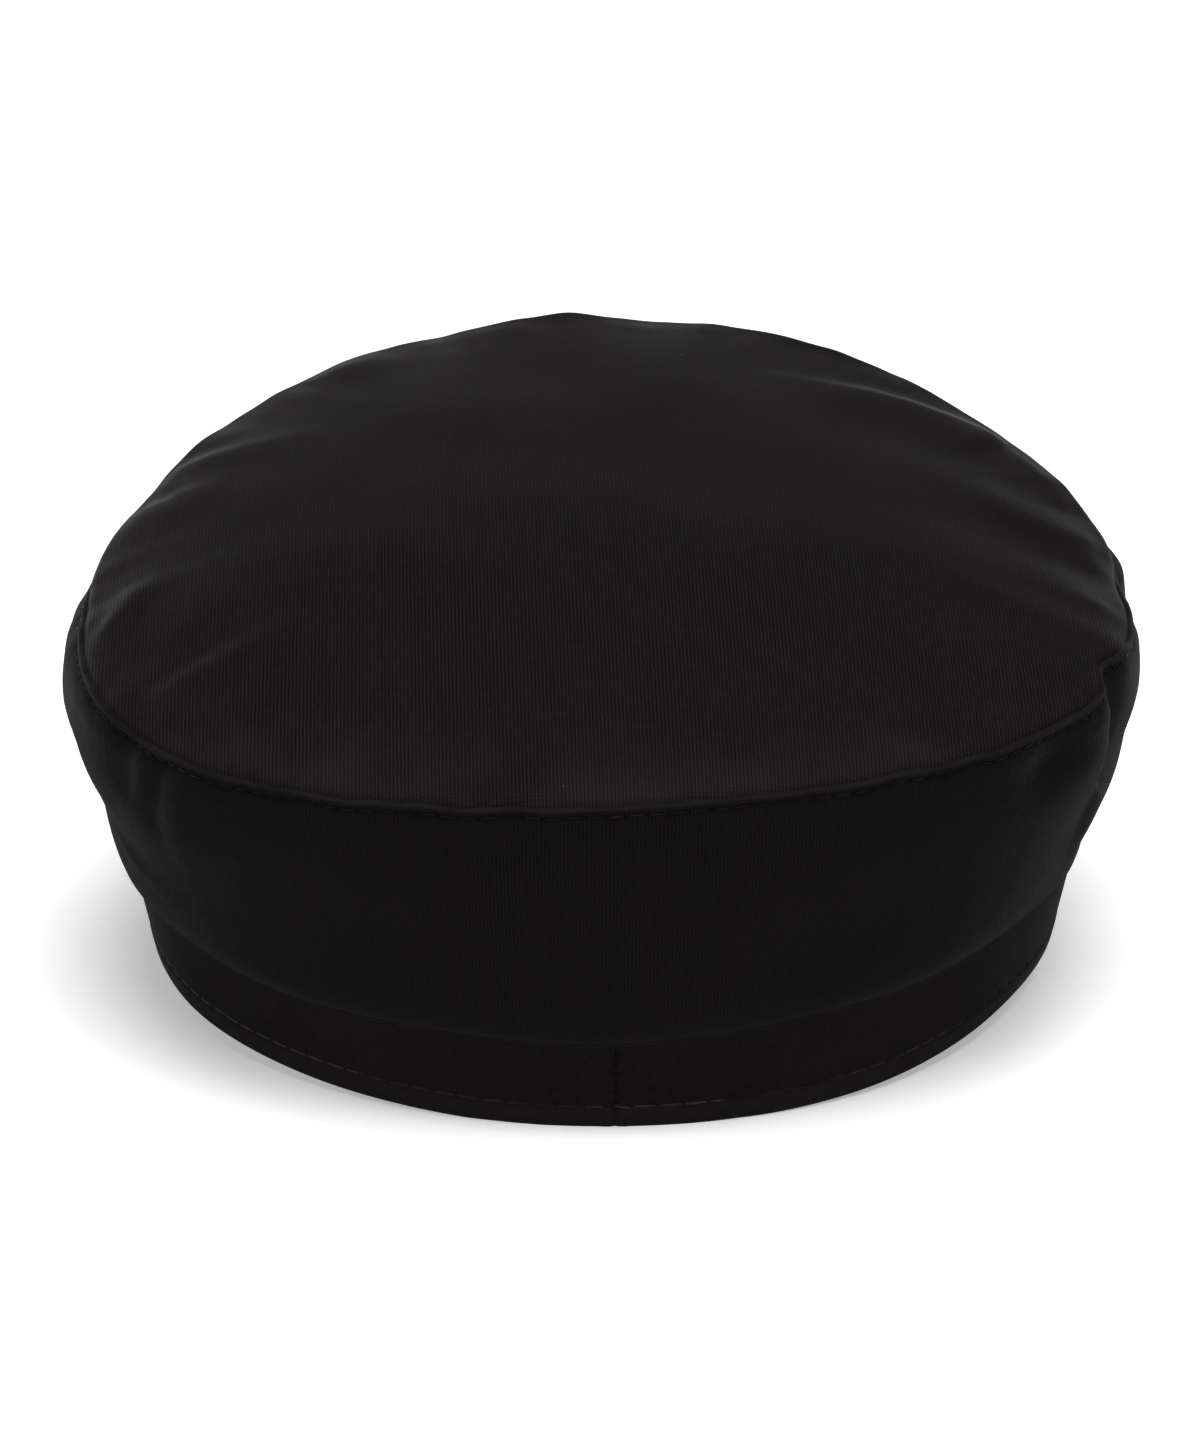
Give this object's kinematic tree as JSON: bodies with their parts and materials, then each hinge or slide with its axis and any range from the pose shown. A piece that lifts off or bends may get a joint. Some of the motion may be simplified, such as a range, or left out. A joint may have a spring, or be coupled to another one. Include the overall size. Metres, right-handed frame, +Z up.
{
  "type": "marine cap",
  "caption": "Soft black cloth marine cap with a wide domed crown, flared crown wall, stitched head band and short sloping peak, resting on a flat surface.",
  "frame": {"origin": "on the surface that the cap rests on, under the middle of its outline seen from above", "axes": "+Z up, -Y towards the front where the peak is, +Y towards the back, +X towards the wearer's left"},
  "size_m": [0.2128, 0.2562, 0.1053],
  "materials": {
    "crown_cloth": "black finely ribbed cotton and polyester cloth with a faint sheen",
    "band_cloth": "black finely ribbed cloth over a stiffening, topstitched along its lower edge",
    "peak_cloth": "black finely ribbed cloth over a stiff board, topstitched along its rim"
  },
  "bodies": {
    "root": {"crown_top": "crown_cloth", "crown_wall": "crown_cloth", "head_band": "band_cloth", "peak": "peak_cloth"}
  },
  "joints": []
}
